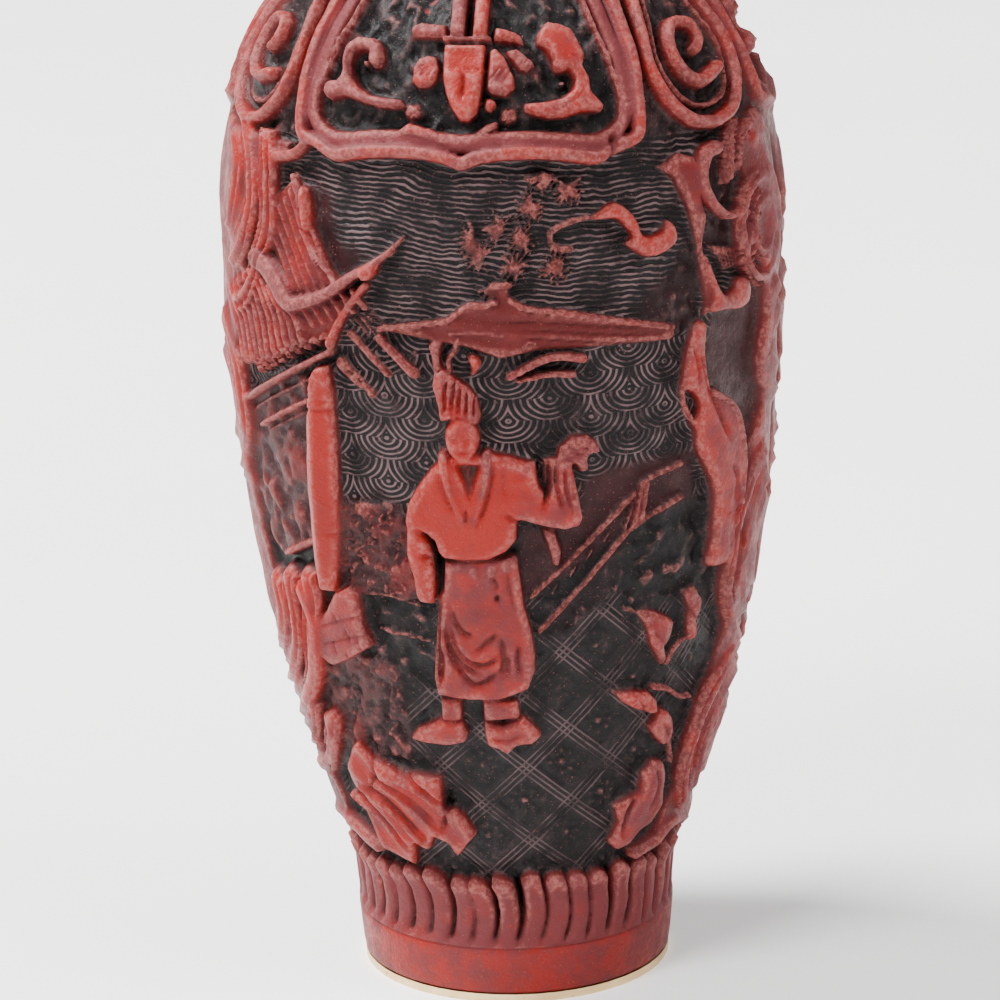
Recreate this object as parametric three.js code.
// A carved red and black lacquer snuff bottle with a brass foot rim and a corked stopper.
// Millimetres, +Z up, origin at the bottom centre. The front of the figure scene faces -Y.
import * as THREE from 'three';
import { mergeGeometries, mergeVertices } from 'three/addons/utils/BufferGeometryUtils.js';

// ---------------------------------------------------------------- driving dimensions (mm)
const BELLY_RADIUS = 15.6;
const BELLY_HEIGHT = 41;
const LOWER_REACH = 43.6;
const LOWER_POWER = 1.85;
const SHOULDER_REACH = 19.94;
const SHOULDER_POWER = 2.6;
const FOOT_RADIUS = 8.5;
const FOOT_FLARE = 0.09;
const CARVE_DEPTH = 1.15;

const RIM_HEIGHT = 0.45;
const RIM_INNER_RADIUS = 6.7;
const RECESS_RADIUS = 6.4;
const RECESS_HEIGHT = 2.7;
const BAND_TOP = 3.3;
const FLUTE_TOP = 7.3;
const FLUTE_COUNT = 36;
const NECK_BASE = 59.9;
const NECK_RADIUS = 5.3;
const LIP_HEIGHT = 64.5;
const BORE_RADIUS = 3.2;
const BORE_BOTTOM = 55.8;
const CAVITY_FLOOR = 6.4;
const WALL = 3.4;
const CORK_RADIUS = 2.9;
const CORK_LENGTH = 3.8;
const CAP_RADIUS = 5.6;
const CAP_HEIGHT = 6.6;

const CARTOUCHE_COUNT = 3;
const LAPPET_OFFSET = Math.PI / CARTOUCHE_COUNT;
const FIGURE_HEIGHT = 21.5;

// ---------------------------------------------------------------- fineness of the mesh
const SEGMENTS = 48;
const COLUMNS = SEGMENTS * 16;
const BASE_ROWS = 11;
const ROWS = BASE_ROWS * 48;
const BORDER_ROWS = 4;
const RELIEF_TRIANGLES = 7300;
const EDGE_SPACING = 1.05;
const EDGE_TOLERANCE = 0.2;

// ---------------------------------------------------------------- outer profile
function envelopeRadius(z) {
  if (z > BELLY_HEIGHT) {
    return BELLY_RADIUS * Math.sqrt(1 - ((z - BELLY_HEIGHT) / SHOULDER_REACH) ** SHOULDER_POWER);
  }
  const belly = BELLY_RADIUS * Math.sqrt(1 - ((BELLY_HEIGHT - z) / LOWER_REACH) ** LOWER_POWER);
  return Math.max(belly, FOOT_RADIUS + FOOT_FLARE * z);
}

class BodyProfile extends THREE.Curve {
  getPoint(t) {
    const z = THREE.MathUtils.lerp(BAND_TOP, NECK_BASE, t);
    return new THREE.Vector2(envelopeRadius(z), z);
  }
}

const profile = new BodyProfile();
profile.arcLengthDivisions = 600;
const ROW_STEP = profile.getLength() / ROWS;
const rows = profile.getSpacedPoints(ROWS).map((point, j) => {
  const tangent = profile.getTangentAt(j / ROWS);
  return { radius: point.x, z: point.y, arc: j * ROW_STEP, normal: [tangent.y, -tangent.x] };
});

// distance along the profile, from the top of the foot band up to a height
function arcAt(z) {
  let low = 0;
  let high = ROWS;
  while (high - low > 1) {
    const middle = (low + high) >> 1;
    if (rows[middle].z > z) high = middle;
    else low = middle;
  }
  const share = (z - rows[low].z) / (rows[high].z - rows[low].z);
  return rows[low].arc + share * ROW_STEP;
}

// ---------------------------------------------------------------- the carved surface
// heights over the carved ground, one for each point of a raster round the bottle
const relief = new Float32Array((COLUMNS + 1) * (ROWS + 1));

// raster points along the upper edge and along the foot of every carved wall
const edges = [];

// A place on the bottle: outlines are given as [x, z], with x the arc from the frame's meridian
// and z the height. A flip of -1 mirrors them.
function frameAt(angle, x = 0, z = 0, scale = 1, flip = 1) {
  return { angle, x, z, scale, flip };
}

function toChart(frame, points) {
  return points.map(([x, z]) => [
    frame.x + frame.flip * frame.scale * x,
    arcAt(frame.z + frame.scale * z),
  ]);
}

// calls paint(index, x, arc) for each raster point within a margin of the chart points
function visit(frame, chart, margin, paint) {
  const xs = chart.map((point) => point[0]);
  const arcs = chart.map((point) => point[1]);
  const left = Math.min(...xs) - margin;
  const right = Math.max(...xs) + margin;
  const first = Math.max(0, Math.floor((Math.min(...arcs) - margin) / ROW_STEP));
  const last = Math.min(ROWS, Math.ceil((Math.max(...arcs) + margin) / ROW_STEP));
  for (let j = first; j <= last; j++) {
    for (let i = 0; i <= COLUMNS; i++) {
      const turn = THREE.MathUtils.euclideanModulo(
        (i / COLUMNS) * 2 * Math.PI - frame.angle, 2 * Math.PI) - Math.PI;
      const x = turn * rows[j].radius;
      if (x >= left && x <= right) paint(j * (COLUMNS + 1) + i, x, rows[j].arc);
    }
  }
}

// nearest point of a line: its distance, and how far along the line it lies (0 to 1)
function nearest(line, x, y) {
  let distance = Infinity;
  let along = 0;
  for (let k = 1; k < line.length; k++) {
    const [ax, ay] = line[k - 1];
    const dx = line[k][0] - ax;
    const dy = line[k][1] - ay;
    const t = THREE.MathUtils.clamp(((x - ax) * dx + (y - ay) * dy) / (dx * dx + dy * dy), 0, 1);
    const gap = Math.hypot(x - ax - t * dx, y - ay - t * dy);
    if (gap < distance) {
      distance = gap;
      along = (k - 1 + t) / (line.length - 1);
    }
  }
  return { distance, along };
}

function isInside(outline, x, y) {
  let inside = false;
  for (let k = 0, m = outline.length - 1; k < outline.length; m = k++) {
    const [ax, ay] = outline[k];
    const [bx, by] = outline[m];
    if (ay > y !== by > y && x < ((bx - ax) * (y - ay)) / (by - ay) + ax) inside = !inside;
  }
  return inside;
}

// records the raster point at a place of the chart
function recordPoint(frame, x, arc) {
  const j = Math.round(arc / ROW_STEP);
  if (j <= 0 || j >= ROWS) return;
  const turn = (frame.angle + x / rows[j].radius) / (2 * Math.PI) + 0.5;
  const i = THREE.MathUtils.euclideanModulo(Math.round(turn * COLUMNS), COLUMNS);
  if (i > 0) edges.push([i, j]);
}

// records raster points along a line of the chart, each moved sideways by an offset to its left
function recordEdge(frame, line, offset) {
  let ahead = 0;
  for (let k = 1; k < line.length; k++) {
    const [ax, ay] = line[k - 1];
    const [dx, dy] = [line[k][0] - ax, line[k][1] - ay];
    const length = Math.hypot(dx, dy);
    for (; ahead < length; ahead += EDGE_SPACING) {
      recordPoint(frame, ax + (dx * ahead - dy * offset) / length, ay + (dy * ahead + dx * offset) / length);
    }
    ahead -= length;
  }
}

// a plateau with rounded edges; top is a height, or a function of the frame's own x and z
function raise(frame, outline, top, bevel = 0.45) {
  const chart = toChart(frame, outline);
  const loop = [...chart, chart[0]];
  visit(frame, chart, 0, (index, x, arc) => {
    if (!isInside(chart, x, arc)) return;
    const rise = Math.min(1, nearest(loop, x, arc).distance / bevel);
    const height = typeof top === 'number' ? top : top((x - frame.x) / (frame.flip * frame.scale));
    relief[index] = Math.max(relief[index], height * (1 - (1 - rise) ** 2));
  });
  const inward = THREE.ShapeUtils.area(chart.map(([x, y]) => ({ x, y }))) > 0 ? 1 : -1;
  recordEdge(frame, loop, inward * bevel * 0.8);
  recordEdge(frame, loop, 0);
}

// a rounded bar along a line; a width is one number or its values at the start and the end
function ridge(frame, line, width, top) {
  const [start, end] = typeof width === 'number' ? [width, width] : width;
  const chart = toChart(frame, line);
  visit(frame, chart, Math.max(start, end), (index, x, arc) => {
    const { distance, along } = nearest(chart, x, arc);
    const half = (frame.scale * THREE.MathUtils.lerp(start, end, along)) / 2;
    if (distance < half) relief[index] = Math.max(relief[index], top * (1 - (distance / half) ** 4));
  });
  const half = (frame.scale * (start + end)) / 4;
  const offsets = half > 0.65 ? [0.6 * half, -0.6 * half, half, -half] : [0, half, -half];
  for (const offset of offsets) recordEdge(frame, chart, offset);
}

// a rounded groove along a line, cut down from whatever stands there
function groove(frame, line, width, depth) {
  const half = (frame.scale * width) / 2;
  const chart = toChart(frame, line);
  visit(frame, chart, width, (index, x, arc) => {
    const { distance } = nearest(chart, x, arc);
    if (distance < half) relief[index] = Math.max(0, relief[index] - depth * (1 - (distance / half) ** 2));
  });
  recordEdge(frame, chart, 0);
}

function knob(frame, x, z, width, top) {
  ridge(frame, [[x - 0.01, z], [x + 0.01, z]], width, top);
}

function smooth(points, closed = false) {
  const curve = new THREE.CatmullRomCurve3(
    points.map(([x, z]) => new THREE.Vector3(x, z, 0)), closed, 'centripetal');
  return curve.getPoints(points.length * 5).map((point) => [point.x, point.y]);
}

function ellipse(x, z, halfWidth, halfHeight) {
  return new THREE.EllipseCurve(x, z, halfWidth, halfHeight).getPoints(24).slice(1)
    .map((point) => [point.x, point.y]);
}

function arcLine(x, z, radius, from, to) {
  const curve = new THREE.ArcCurve(
    x, z, radius, THREE.MathUtils.degToRad(from), THREE.MathUtils.degToRad(to), to < from);
  return curve.getPoints(16).map((point) => [point.x, point.y]);
}

function between(a, b, share) {
  return [THREE.MathUtils.lerp(a[0], b[0], share), THREE.MathUtils.lerp(a[1], b[1], share)];
}

// ---------------------------------------------------------------- carved motifs
// leaf-like flutes: rounded crests between narrow grooves, under a jagged upper edge
function carveFluteBand() {
  const crestHeight = 1.05;
  const grooveDepth = 0.45;
  const notch = 0.5;
  const topOf = (k) => FLUTE_TOP + 0.3 * Math.sin(2.3 * k) + 0.2 * Math.sin(5.1 * k);
  for (let i = 0; i <= COLUMNS; i++) {
    const turn = (i / COLUMNS) * FLUTE_COUNT;
    const off = 2 * Math.abs(turn - Math.round(turn));
    const top = topOf(Math.round(turn) % FLUTE_COUNT) - notch * off;
    for (let j = 0; rows[j].z < top; j++) {
      relief[j * (COLUMNS + 1) + i] = j < BORDER_ROWS ? CARVE_DEPTH : crestHeight - grooveDepth * off ** 3;
    }
  }
  for (let k = 0; k < FLUTE_COUNT; k++) {
    const crest = frameAt((2 * Math.PI * k) / FLUTE_COUNT - Math.PI);
    const valley = frameAt((2 * Math.PI * (k + 0.5)) / FLUTE_COUNT - Math.PI);
    for (const z of [topOf(k) - 0.15, topOf(k) + 0.1]) recordPoint(crest, 0, arcAt(z));
    const notchTop = topOf(k) - notch;
    for (const z of [BAND_TOP + 0.5, notchTop - 0.15, notchTop + 0.1]) recordPoint(valley, 0, arcAt(z));
  }
}

// the plain border where the carved zone meets the neck
function carveNeckBorder() {
  for (let i = 0; i <= COLUMNS; i++) {
    for (let j = ROWS - 3 * BORDER_ROWS; j <= ROWS; j++) relief[j * (COLUMNS + 1) + i] = CARVE_DEPTH;
  }
}

function carveFigure(frame) {
  const skirt = [[-1.6, 11.3], [2.7, 11.5], [3, 8.6], [3.5, 6], [3.5, 4.6], [2.7, 3.3], [0, 3], [-2.5, 3.1],
    [-2.6, 4.4], [-2.1, 8.2]];
  const leftShoe = [[-2.5, 3.3], [-2.8, 1.8], [-4.4, 0.7], [-4.1, 0.1], [-1.7, 0], [-0.6, 0.9], [-0.8, 3.3]];
  const rightShoe = [[0.1, 3.3], [0.1, 0.3], [1.7, -0.2], [3.1, 0.3], [3.6, 1], [2.6, 2.1], [2.4, 3.3]];
  const jacket = [[-1.4, 17.1], [-2.6, 15.9], [-3.6, 14.5], [-2.7, 12.6], [-1.9, 11.5], [0, 11.1],
    [2.3, 11.5], [2.8, 12.7], [2.8, 14], [4, 15.4], [3.6, 16.9], [1.3, 17.2], [0, 16.2]];
  const sleeve = [[2.2, 16.9], [4.1, 16.9], [4.3, 15], [4.7, 14.9], [4.9, 16.8], [6.1, 16.5], [6.5, 13.4],
    [6.1, 12.9], [4.2, 13], [2.4, 14]];
  const hand = [[5, 16.9], [5.4, 18], [6.8, 18.1], [7.7, 17.2], [7, 16.9], [6, 16.5]];
  const sleeveTail = [[3.9, 13.3], [5.3, 13], [5.3, 11.3], [4.8, 10.7], [4.4, 11.8]];
  const hat = [[-1.4, 19.3], [-1.5, 20.7], [-1, 21.6], [-0.2, 21.2], [0.7, 20.6], [0.9, 19.4]];
  raise(frame, leftShoe, 0.75);
  raise(frame, rightShoe, 0.75);
  raise(frame, skirt, 0.85, 0.6);
  for (let k = 0; k < 4; k++) {
    const low = 8.3 - 1.25 * k;
    groove(frame, smooth([[-1.6, low + 1.8], [-0.9, low], [0.2, low - 0.5], [1.2, low + 0.6]]), 0.55, 0.25);
  }
  groove(frame, [[-1.9, 10], [-2.2, 3.4]], 0.5, 0.35);
  groove(frame, [[1.7, 9.6], [2, 4.2]], 0.5, 0.3);
  raise(frame, jacket, 1.0, 0.6);
  raise(frame, sleeveTail, 0.7);
  raise(frame, sleeve, 1.0);
  raise(frame, hand, 0.9);
  ridge(frame, smooth([[-2.9, 15.3], [-3.1, 13.2], [-2.9, 11.2], [-2.7, 9.4]]), [2, 1.6], 1.1);
  groove(frame, [[-2, 13], [-1.8, 9.6]], 0.45, 0.5);
  for (const x of [5, 5.5]) groove(frame, [[x - 0.2, 16], [x + 0.2, 13.9]], 0.35, 0.3);
  ridge(frame, [[-1.2, 17], [-0.9, 15.6], [0, 13.7]], 0.6, 1.15);
  ridge(frame, [[1.2, 17], [1, 15.4], [0.3, 13.7]], 0.6, 1.15);
  groove(frame, [[0.1, 16.2], [0.1, 14.6]], 0.5, 0.6);
  raise(frame, hat, 1.05);
  raise(frame, ellipse(-0.2, FIGURE_HEIGHT - 3.2, 1.1, 1.55), 1.15, 0.8);
}

function carvePavilion(frame) {
  const roof = [[-19.5, 39.9], [-14.6, 41.8], [-13.6, 42.6], [-10.9, 40.2], [-6.3, 41.6], [-8, 38.9],
    [-15.6, 35.8], [-17.8, 36.6], [-20, 38.4]];
  const upperRoof = [[-13.4, 43.4], [-12.3, 46.2], [-10.8, 47.4], [-9.7, 46.6], [-9.2, 44.6], [-7.4, 41.9],
    [-9.4, 41.3], [-10.9, 41]];
  const gable = [[-10.3, 46.9], [-9.5, 46.6], [-9.1, 44.4], [-9.8, 44.1]];
  const column = [[-9.9, 24.2], [-10.3, 28], [-10.1, 34], [-9.5, 37.1], [-8.4, 37.3], [-7.9, 33.5],
    [-8.1, 28], [-8.6, 24.2]];
  const base = [[-10.8, 22.3], [-9.9, 24.1], [-7.1, 24.6], [-6.4, 21.6], [-10.3, 19.5]];
  const wall = [[-17, 34], [-10, 37], [-10, 26.6], [-14, 25.2], [-17, 27]];
  raise(frame, wall, 0.35);
  raise(frame, roof, 0.55);
  raise(frame, upperRoof, 0.7);
  const tileCount = 11;
  for (let k = 0; k <= tileCount; k++) {
    const foot = between([-17, 36.2], [-8.3, 39.3], k / tileCount);
    const run = Math.min(3.4, 0.9 + 0.45 * (tileCount - k));
    const head = [foot[0] - 0.95 * run, foot[1] + 0.95 * run];
    const bend = between(foot, head, 0.5);
    ridge(frame, smooth([head, [bend[0] + 0.15, bend[1] + 0.2], foot]), 0.5, 0.95);
  }
  for (let k = 0; k < 3; k++) {
    ridge(frame, [[-12.9 + 1.1 * k, 44.8 + 1.1 * k], [-10.4 + 1.2 * k, 41.3 + 0.3 * k]], 0.6, 0.95);
  }
  raise(frame, gable, 1.1, 0.3);
  ridge(frame, [[-14, 42.9], [-12.4, 41.9], [-10.8, 40.4]], 1.2, 1.15);
  ridge(frame, smooth([[-11, 40.4], [-8.4, 41.3], [-6, 42.6], [-4, 44.3]]), [0.95, 0.45], 1.15);
  ridge(frame, [[-16.4, 35.5], [-8.1, 39.1]], 0.6, 0.85);
  ridge(frame, [[-17, 33.7], [-8.2, 38.1]], 0.5, 0.9);
  ridge(frame, [[-15.2, 32.7], [-9.9, 35.1]], 0.45, 0.75);
  ridge(frame, [[-13.6, 25.6], [-10.1, 27.1]], 0.55, 0.7);
  ridge(frame, [[-6.8, 39.2], [-4.5, 37.2]], 0.55, 0.6);
  ridge(frame, [[-5, 39.1], [-2.9, 37.4]], 0.65, 0.65);
  ridge(frame, [[-7.6, 37.4], [-5.7, 35.9]], 0.9, 0.5);
  raise(frame, base, 0.9, 0.3);
  for (let k = 1; k < 3; k++) {
    groove(frame, [[-10.5, 19.4 + 0.95 * k], [-6.5, 21.6 + 0.95 * k]], 0.35, 0.25);
  }
  const crest = -9.1;
  raise(frame, column, (x) => CARVE_DEPTH - 0.35 * Math.abs(x - crest), 0.3);
}

function carveFarRoof(frame) {
  const hill = [[-5, 39.7], [-2, 40.1], [-0.9, 40.3], [0.3, 41.3], [1.9, 41.4], [1.7, 42.3], [2.6, 42.3],
    [2.7, 41.5], [3.6, 41], [6, 40.7], [9, 40], [13, 39.2], [12.5, 38.2], [8, 38.5], [4, 38.6], [2, 38.2],
    [0, 38.9], [-2.2, 39]];
  raise(frame, hill, 0.6, 0.35);
  ridge(frame, [[-4.8, 39.8], [-1, 40.3], [0.3, 41.2], [1.9, 41.3]], 0.4, 0.8);
  ridge(frame, [[2.7, 41.3], [6, 40.6], [9, 39.9]], 0.4, 0.8);
  ridge(frame, smooth([[2.5, 37.3], [4.2, 38.1], [6.7, 38.1]]), 0.75, 0.7);
  ridge(frame, [[3, 37.1], [6.1, 37.3]], 0.5, 0.6);
  raise(frame, ellipse(0.55, 38, 0.5, 0.7), 0.8, 0.35);
}

function carvePine(frame) {
  const trunk = [[14, 39], [13.3, 37.6], [12.9, 35.6], [13.3, 34], [13.9, 33], [14.1, 31.8], [15.2, 30],
    [15.6, 28.6], [15.4, 26.6], [15.2, 25], [17.6, 25], [17.8, 27.2], [18.6, 29.2], [18.7, 30.8],
    [18.2, 32.2], [17.2, 33.9], [15.6, 34.9], [15, 36], [14.8, 37.6], [14.9, 39]];
  const upperTrunk = [[14.4, 39], [14.8, 41.5], [14.2, 43.8], [13.2, 45.6], [12.4, 47.2]];
  const knobEnd = [[16.2, 40.1], [17.4, 40.3], [18.4, 40.8], [19, 40.1], [18.9, 39.4], [17.8, 39.1],
    [16.4, 39.3]];
  raise(frame, smooth(trunk, true), 0.95, 0.8);
  groove(frame, smooth([[15, 35.4], [16.2, 33], [17.4, 31], [17.6, 28.6]]), 0.7, 0.35);
  groove(frame, [[13.5, 35.4], [13.9, 33.8]], 0.9, 0.7);
  ridge(frame, smooth(upperTrunk), [1.3, 0.7], 0.65);
  ridge(frame, smooth([[14.8, 43], [15.2, 41.8], [16.5, 40.1]]), 0.6, 0.9);
  raise(frame, smooth(knobEnd, true), 1.0);
  const claw = [[15.8, 48.1], [14.9, 48], [14.6, 47], [14.9, 46], [15.8, 45], [17.1, 44.3], [18.2, 44.5]];
  ridge(frame, smooth(claw), [0.95, 0.4], 0.95);
  ridge(frame, smooth([[4.6, 45.5], [6.9, 45.5], [8.3, 46.1], [9.3, 45.6], [9.7, 44.7]]), [0.35, 0.7], 0.75);
  ridge(frame, smooth([[9.8, 44.6], [10.1, 43.8], [11, 43.6], [11.9, 43.8], [12.4, 44.7]]), [0.8, 1], 1.0);
  for (const [x, z] of [[2.1, 45.1], [1, 43.7], [3.8, 46.3], [6.1, 47.3], [5.2, 43], [2.9, 43]]) {
    knob(frame, x, z, 1.1, 0.55);
  }
}

function carveRailing(frame) {
  ridge(frame, [[3.4, 24.9], [9.9, 30.5]], 0.45, 0.45);
  ridge(frame, [[3.7, 22.7], [9.2, 28], [10.4, 28.7], [13.3, 29.4]], 0.45, 0.45);
  ridge(frame, [[10.7, 30.9], [13.3, 31.3]], 0.4, 0.45);
  ridge(frame, [[9.8, 28.4], [10.3, 30.8]], 0.9, 0.55);
}

function carveLeaves(frame) {
  const leaves = [
    [[9.5, 23.1], [11, 23.2], [12.3, 22.4], [11.9, 21], [11.4, 19.7], [10.6, 21]],
    [[13.3, 24], [14.4, 23.9], [14.9, 23], [14.3, 21.5], [13.6, 21.4], [13.3, 22.7]],
    [[7.8, 18.8], [9.4, 18.6], [10.9, 18], [11.4, 17], [10.9, 16.6], [9.5, 17.2], [8.5, 18]],
    [[11.3, 17], [12.4, 16.4], [12.7, 15], [12, 14.3], [11.1, 14.7], [10.4, 16]],
  ];
  for (const leaf of leaves) raise(frame, leaf, 0.8);
}

function carveRocks(frame) {
  const nearLeft = [[-9.9, 12.6], [-9, 14.9], [-8.3, 15.2], [-7.1, 14.4], [-4.8, 13.9], [-2.4, 13.9],
    [-2.4, 11.8], [-1.9, 11.9], [-1.2, 11.3], [-0.65, 10.2], [-1.3, 9.3], [-1.9, 8.5], [-2.6, 9.7],
    [-3.2, 9.9], [-3.8, 8.8], [-4.6, 9.2], [-4.9, 7.6], [-7.4, 8.6]];
  const nearRight = [[7.7, 11.4], [9.8, 11.9], [9.9, 13.1], [10.8, 13.8], [11.8, 13.7], [12.1, 12],
    [11.8, 10.4], [10.7, 9.4], [8.7, 8.3], [7.6, 8.4], [7.2, 9], [8, 10]];
  raise(frame, nearLeft, (x) => 0.9 + 0.2 * Math.sin(1.6 * x), 0.4);
  for (let k = 0; k < 3; k++) {
    groove(frame, [[-9.4 + 1.2 * k, 11.4 + 0.9 * k], [-5 + 1.1 * k, 8.9 + 1.2 * k]], 0.6, 0.45);
  }
  raise(frame, nearRight, 0.85);
  groove(frame, [[9.6, 11.6], [8.4, 10.5], [8.3, 9]], 0.5, 0.45);
  ridge(frame, smooth([[8.8, 8], [10.6, 8.7], [13, 9.4], [15.4, 8.8], [18, 7.9]]), [0.9, 1.3], 0.9);
  ridge(frame, smooth([[-8.6, 8.3], [-10.6, 9], [-13, 9.2], [-16, 8.3]]), [1, 1.5], 0.95);
}

// tall garden rocks with concentric folds stand at both sides of the scene
function carveSideRocks(frame) {
  const massHeight = 0.8;
  const right = [[11, 8.2], [13.5, 12], [17.4, 20], [19.4, 30], [20.6, 40], [20.2, 47], [24.6, 47], [25, 41],
    [23.9, 30], [21.6, 20], [18.2, 12], [16, 8.2]];
  const left = [[-11, 8.2], [-12, 12], [-14.2, 20], [-17, 26], [-18.6, 35], [-17.2, 47], [-24.6, 47], [-25, 41],
    [-23.9, 30], [-21.6, 20], [-18.2, 12], [-16, 8.2]];
  raise(frame, right, massHeight, 0.6);
  raise(frame, left, massHeight, 0.6);
  const folds = [
    { x: -19.5, z: 22.6, radii: [5.4, 8.3], from: 12, to: -82, width: 2.3 },
    { x: -16.5, z: 17, radii: [5.9], from: -8, to: -62, width: 1.9 },
    { x: 21, z: 11.4, radii: [4.4, 7], from: 92, to: 192, width: 2 },
    { x: 24, z: 24, radii: [3.6, 6.8], from: 110, to: 230, width: 2.2 },
    { x: 22, z: 39.5, radii: [3.6], from: 80, to: 300, width: 1.8 },
    { x: -21.5, z: 32, radii: [3.4], from: 80, to: -80, width: 2 },
    { x: -21, z: 45, radii: [3.2], from: 60, to: -60, width: 2 },
  ];
  for (const fold of folds) {
    for (const radius of fold.radii) {
      const line = arcLine(fold.x, fold.z, radius, fold.from, fold.to);
      ridge(frame, line.filter((point) => point[1] > FLUTE_TOP + 0.6), fold.width, 1.1);
    }
  }
}

function carveScene(frame) {
  carveFigure({ ...frame, z: 15.8 });
  carvePavilion(frame);
  carveFarRoof(frame);
  carvePine(frame);
  carveRailing(frame);
  carveLeaves(frame);
  carveRocks(frame);
  carveSideRocks(frame);
}

function carveBackScene(frame) {
  carveSideRocks(frame);
  carveFarRoof(frame);
  carvePine(frame);
  carveRocks(frame);
  carveFigure({ ...frame, x: -3, z: 15.8 });
}

// the wide shaped panel of the shoulder band, with a lotus and two scrolls in it
function carveCartouche(frame, isFront) {
  const side = [[10.4, 51.2], [10.4, 53], [9.7, 55], [8.4, 57], [6.6, 58.6]];
  const foot = [[0, 48.7], [1.3, 49.3], [3.2, 49.6], [6, 49.4], [8.6, 49.4], [9.9, 50.2]];
  for (const flip of [1, -1]) {
    const edge = smooth([...foot, ...side].map(([x, z]) => [flip * x, z]));
    ridge(frame, edge, 0.9, 1.1);
    const scroll = [[5, 54.3], [6, 54.7], [7, 54], [7.1, 52.8], [6.3, 51.9], [4.6, 51.5], [3.4, 51.7]];
    ridge(frame, smooth(scroll.map(([x, z]) => [flip * x, z])), 0.95, 1.0);
    ridge(frame, [[flip * 6.6, 52.3], [flip * 8.1, 51.7]], [0.9, 0.7], 1.0);
    if (!isFront) continue;
    const petal = [[1.3, 52.4], [1.4, 54.3], [2, 54.5], [3, 53], [2.9, 52.2], [2, 52]];
    raise(frame, petal.map(([x, z]) => [flip * x, z]), 0.85, 0.35);
    ridge(frame, [[flip * 0.5, 54.9], [flip * 0.5, 57.4]], 0.8, 1.0);
  }
  ridge(frame, [[-3.1, 55.2], [3.1, 55.2]], 0.8, 0.95);
  const pendant = [[-1.1, 54.4], [-1.1, 52.8], [-0.5, 51.3], [0, 50.8], [0.6, 51.3], [1.1, 52.8], [1.1, 54.4]];
  raise(frame, smooth(pendant, true), 1.05);
}

// the narrow lappet between two panels, with one scroll in it
function carveLappet(frame) {
  for (const flip of [1, -1]) {
    const side = [[0, 49.5], [1.8, 49.8], [3.2, 51], [3.7, 52.8], [3, 55], [2, 57], [1.2, 58.6]];
    ridge(frame, smooth(side.map(([x, z]) => [flip * x, z])), 0.8, 1.1);
  }
  const scroll = [[0.2, 53.2], [0.9, 53.7], [0.6, 54.5], [-0.8, 54.6], [-1.9, 53.6], [-1.6, 52.1],
    [0, 51.4], [1.8, 52]];
  ridge(frame, smooth(scroll), [0.7, 1], 1.0);
}

function carveBottle() {
  carveNeckBorder();
  carveScene(frameAt(0));
  for (let k = 0; k < CARTOUCHE_COUNT; k++) {
    carveCartouche(frameAt(2 * k * LAPPET_OFFSET), k === 0);
    carveLappet(frameAt((2 * k + 1) * LAPPET_OFFSET));
  }
  carveFluteBand();
  carveBackScene(frameAt(Math.PI, 0, 0, 1, -1));
}

// ---------------------------------------------------------------- from raster to triangles
// position of a raster point: the ground lies CARVE_DEPTH below the envelope, along its normal
function surfacePoint(i, j) {
  const row = rows[j];
  const sink = CARVE_DEPTH - relief[j * (COLUMNS + 1) + i];
  const radius = row.radius - row.normal[0] * sink;
  return { radius, z: row.z - row.normal[1] * sink };
}

function turnOf(a, b, c) {
  return (b[0] - a[0]) * (c[1] - a[1]) - (b[1] - a[1]) * (c[0] - a[0]);
}

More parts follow.
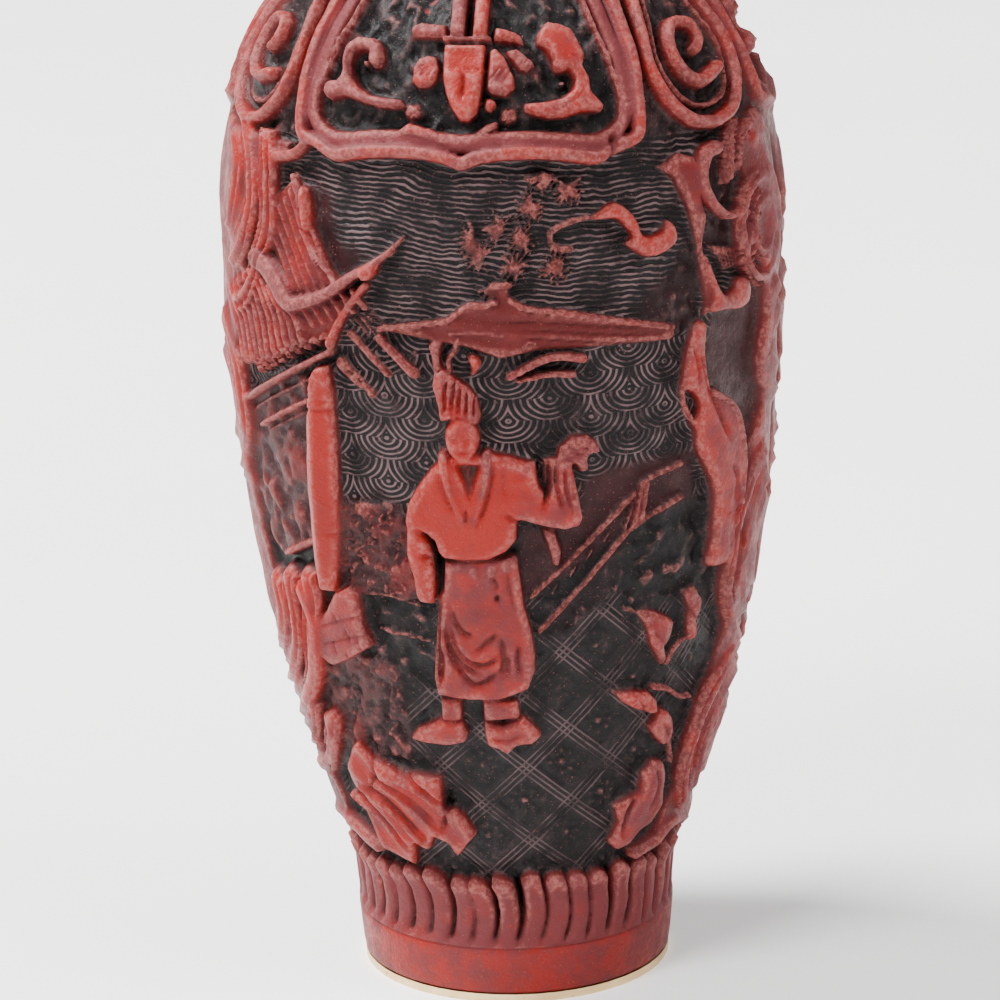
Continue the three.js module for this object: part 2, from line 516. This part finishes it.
// A Delaunay mesh over the raster that grows at the point where it fits worst. A triangle has its
// three corners and, over the edge that starts at each corner, its neighbour.
class GrowingMesh {
  constructor() {
    this.triangles = [];
    const columnStep = COLUMNS / SEGMENTS;
    const rowStep = ROWS / BASE_ROWS;
    for (let row = 0; row < BASE_ROWS; row++) {
      for (let column = 0; column < SEGMENTS; column++) {
        const a = [column * columnStep, row * rowStep];
        const b = [a[0] + columnStep, a[1]];
        const c = [b[0], a[1] + rowStep];
        const d = [a[0], c[1]];
        this.triangles.push(this.create(a, b, c), this.create(a, c, d));
      }
    }
    this.linkAll();
    for (const triangle of this.triangles) this.measure(triangle);
  }

  create(a, b, c) {
    return { corners: [a, b, c], across: [null, null, null], misfit: 0, worst: null };
  }

  linkAll() {
    const open = new Map();
    for (const triangle of this.triangles) {
      triangle.corners.forEach((corner, k) => {
        const next = triangle.corners[(k + 1) % 3];
        const twin = open.get(`${next}:${corner}`);
        if (twin) {
          triangle.across[k] = twin.triangle;
          twin.triangle.across[twin.k] = triangle;
        }
        open.set(`${corner}:${next}`, { triangle, k });
      });
    }
  }

  edgeFrom(triangle, corner) {
    return triangle.corners.findIndex((own) => own[0] === corner[0] && own[1] === corner[1]);
  }

  join(triangle, k, neighbour) {
    triangle.across[k] = neighbour;
    if (neighbour) neighbour.across[this.edgeFrom(neighbour, triangle.corners[(k + 1) % 3])] = triangle;
  }

  // how far a raster point lies off the flat triangle, square to the body's profile
  misfitAt(triangle, point) {
    const [a, b, c] = triangle.corners;
    const area = turnOf(a, b, c);
    const shares = [turnOf(b, c, point), turnOf(c, a, point), turnOf(a, b, point)];
    if (Math.min(...shares) < 0 || Math.max(...shares) === area) return 0;
    const off = surfacePoint(...point);
    triangle.corners.forEach(([i, j], k) => {
      const corner = surfacePoint(i, j);
      off.radius -= (shares[k] / area) * corner.radius;
      off.z -= (shares[k] / area) * corner.z;
    });
    const [across, up] = rows[point[1]].normal;
    return Math.abs(off.radius * across + off.z * up);
  }

  // sums the misfit of the raster points over a triangle, and finds the worst of them
  measure(triangle) {
    const [a, b, c] = triangle.corners;
    const lowest = Math.max(1, Math.min(a[1], b[1], c[1]));
    const highest = Math.min(ROWS - 1, Math.max(a[1], b[1], c[1]));
    const leftmost = Math.max(1, Math.min(a[0], b[0], c[0]));
    const rightmost = Math.min(COLUMNS - 1, Math.max(a[0], b[0], c[0]));
    let largest = 0;
    triangle.misfit = 0;
    for (let j = lowest; j <= highest; j++) {
      for (let i = leftmost; i <= rightmost; i++) {
        const misfit = this.misfitAt(triangle, [i, j]);
        triangle.misfit += misfit;
        if (misfit > largest) {
          largest = misfit;
          triangle.worst = [i, j];
        }
      }
    }
  }

  // adds the points of an edge list where the mesh doesn't follow the carving yet
  follow(points, limit) {
    for (const point of points) {
      if (this.triangles.length >= limit) return;
      const home = this.triangles.find(({ corners: [a, b, c] }) => turnOf(a, b, point) >= 0
        && turnOf(b, c, point) >= 0 && turnOf(c, a, point) >= 0);
      if (this.misfitAt(home, point) > EDGE_TOLERANCE) this.insert(home, point);
    }
  }

  // splits the triangle, or the pair that shares the edge the point lies on
  insert(triangle, point) {
    const edge = triangle.corners.findIndex(
      (corner, k) => turnOf(corner, triangle.corners[(k + 1) % 3], point) === 0);
    const fresh = edge < 0 ? this.splitInside(triangle, point) : this.splitEdge(triangle, edge, point);
    const changed = new Set(fresh);
    for (const part of fresh) this.restoreDelaunay(part, changed);
    for (const part of changed) this.measure(part);
  }

  // a fan round the point: each part is [point, from, to] with its outer neighbour
  fan(point, reused, sides) {
    const parts = sides.map(({ from, to }, k) => {
      const part = reused[k] ?? this.create();
      part.corners = [point, from, to];
      if (!reused[k]) this.triangles.push(part);
      return part;
    });
    parts.forEach((part, k) => this.join(part, 1, sides[k].over));
    parts.forEach((part, k) => this.join(part, 2, parts[(k + 1) % parts.length]));
    return parts;
  }

  side(triangle, k) {
    return { from: triangle.corners[k % 3], to: triangle.corners[(k + 1) % 3], over: triangle.across[k % 3] };
  }

  splitInside(triangle, point) {
    const sides = [0, 1, 2].map((k) => this.side(triangle, k));
    return this.fan(point, [triangle], sides);
  }

  splitEdge(triangle, edge, point) {
    const twin = triangle.across[edge];
    const back = this.edgeFrom(twin, triangle.corners[(edge + 1) % 3]);
    const sides = [this.side(triangle, edge + 1), this.side(triangle, edge + 2),
      this.side(twin, back + 1), this.side(twin, back + 2)];
    return this.fan(point, [triangle, twin], sides);
  }

  isEncroached([ax, ay], [bx, by], [cx, cy], [dx, dy]) {
    const a = (ax - dx) ** 2 + (ay - dy) ** 2;
    const b = (bx - dx) ** 2 + (by - dy) ** 2;
    const c = (cx - dx) ** 2 + (cy - dy) ** 2;
    return (ax - dx) * ((by - dy) * c - b * (cy - dy)) - (ay - dy) * ((bx - dx) * c - b * (cx - dx))
      + a * ((bx - dx) * (cy - dy) - (by - dy) * (cx - dx)) > 0;
  }

  // flips the edge opposite a triangle's first corner while it breaks the Delaunay rule
  restoreDelaunay(triangle, changed) {
    const [point, from, to] = triangle.corners;
    const twin = triangle.across[1];
    if (!twin) return;
    const back = this.edgeFrom(twin, to);
    const far = twin.corners[(back + 2) % 3];
    if (!this.isEncroached(point, from, to, far)) return;
    const lower = twin.across[(back + 1) % 3];
    const upper = twin.across[(back + 2) % 3];
    const left = triangle.across[2];
    triangle.corners = [point, from, far];
    twin.corners = [point, far, to];
    this.join(triangle, 1, lower);
    this.join(twin, 1, upper);
    this.join(twin, 2, left);
    this.join(triangle, 2, twin);
    changed.add(triangle);
    changed.add(twin);
    this.restoreDelaunay(triangle, changed);
    this.restoreDelaunay(twin, changed);
  }

  grow(limit) {
    while (this.triangles.length < limit) {
      const target = this.triangles.reduce((most, next) => (next.misfit > most.misfit ? next : most));
      this.insert(target, target.worst);
    }
  }
}

function reliefGeometry() {
  const mesh = new GrowingMesh();
  mesh.follow(edges, RELIEF_TRIANGLES);
  mesh.grow(RELIEF_TRIANGLES);
  const positions = [];
  for (const triangle of mesh.triangles) {
    for (const [i, j] of triangle.corners) {
      const { radius, z } = surfacePoint(i, j);
      const angle = ((i % COLUMNS) / COLUMNS) * 2 * Math.PI - Math.PI;
      positions.push(radius * Math.sin(angle), -radius * Math.cos(angle), z);
    }
  }
  const geometry = new THREE.BufferGeometry();
  geometry.setAttribute('position', new THREE.Float32BufferAttribute(positions, 3));
  return geometry;
}

// ---------------------------------------------------------------- turned shapes
// turns a profile of [radius, z] points round the Z axis, with the outside on its right
function revolve(points) {
  const profilePoints = points.map(([radius, z]) => new THREE.Vector2(radius, z));
  const geometry = new THREE.LatheGeometry(profilePoints, SEGMENTS);
  geometry.rotateX(Math.PI / 2);
  geometry.deleteAttribute('normal');
  geometry.deleteAttribute('uv');
  return geometry.toNonIndexed();
}

// joins open shells into one body with shared corners and no collapsed triangles
function weld(shells) {
  const merged = mergeVertices(mergeGeometries(shells), 1e-3);
  const corners = merged.getIndex().array;
  const kept = [];
  for (let k = 0; k < corners.length; k += 3) {
    const [a, b, c] = corners.slice(k, k + 3);
    if (a !== b && b !== c && c !== a) kept.push(a, b, c);
  }
  merged.setIndex(kept);
  merged.computeVertexNormals();
  return merged;
}

function quarterTurn(radius, z, width, height, from, to, steps) {
  const curve = new THREE.EllipseCurve(radius, z, width, height, from, to);
  return curve.getPoints(steps).map((point) => [point.x, point.y]);
}

// ---------------------------------------------------------------- the pieces
function bottleBody() {
  carveBottle();
  const foot = [[0, RECESS_HEIGHT], [RECESS_RADIUS, RECESS_HEIGHT], [RECESS_RADIUS, RIM_HEIGHT],
    [FOOT_RADIUS, RIM_HEIGHT], [envelopeRadius(BAND_TOP), BAND_TOP]];
  const neck = [[envelopeRadius(NECK_BASE), NECK_BASE], [NECK_RADIUS, NECK_BASE + 0.7],
    [NECK_RADIUS, LIP_HEIGHT - 0.5], [NECK_RADIUS - 0.5, LIP_HEIGHT], [BORE_RADIUS, LIP_HEIGHT]];
  const cavity = [[BORE_RADIUS, BORE_BOTTOM]];
  for (const z of [54.4, 51, 44, 30, 16, 8]) cavity.push([envelopeRadius(z) - WALL, z]);
  cavity[1][0] = 7.2;
  cavity.push([envelopeRadius(CAVITY_FLOOR) - WALL - 1, CAVITY_FLOOR], [0, CAVITY_FLOOR]);
  return weld([revolve(foot), reliefGeometry(), revolve([...neck, ...cavity])]);
}

function footRim() {
  const ring = [[RIM_INNER_RADIUS, 0], [FOOT_RADIUS, 0], [FOOT_RADIUS, RIM_HEIGHT],
    [RIM_INNER_RADIUS, RIM_HEIGHT], [RIM_INNER_RADIUS, 0]];
  return weld([revolve(ring)]);
}

function stopperCap() {
  const collar = LIP_HEIGHT + 0.9;
  const dome = quarterTurn(0, collar, CAP_RADIUS - 0.3, CAP_HEIGHT - 0.9, 0, Math.PI / 2, 4);
  dome[dome.length - 1] = [0, LIP_HEIGHT + CAP_HEIGHT];
  return weld([revolve([[0, LIP_HEIGHT], [CAP_RADIUS, LIP_HEIGHT], [CAP_RADIUS, collar], ...dome])]);
}

function stopperCork() {
  const bottom = LIP_HEIGHT - CORK_LENGTH;
  return weld([revolve([[0, bottom], [CORK_RADIUS, bottom], [CORK_RADIUS, LIP_HEIGHT], [0, LIP_HEIGHT]])]);
}

function piece(name, geometry, color, roughness, metalness) {
  const mesh = new THREE.Mesh(geometry, new THREE.MeshStandardMaterial({ color, roughness, metalness }));
  mesh.name = name;
  return mesh;
}

const group = new THREE.Group();
group.add(piece('bottle_body', bottleBody(), 0xa8453c, 0.45, 0));
group.add(piece('foot_rim', footRim(), 0xc9a468, 0.35, 1));
group.add(piece('stopper_cap', stopperCap(), 0xa8453c, 0.4, 0));
group.add(piece('stopper_cork', stopperCork(), 0xb48a5a, 0.9, 0));

export default group;
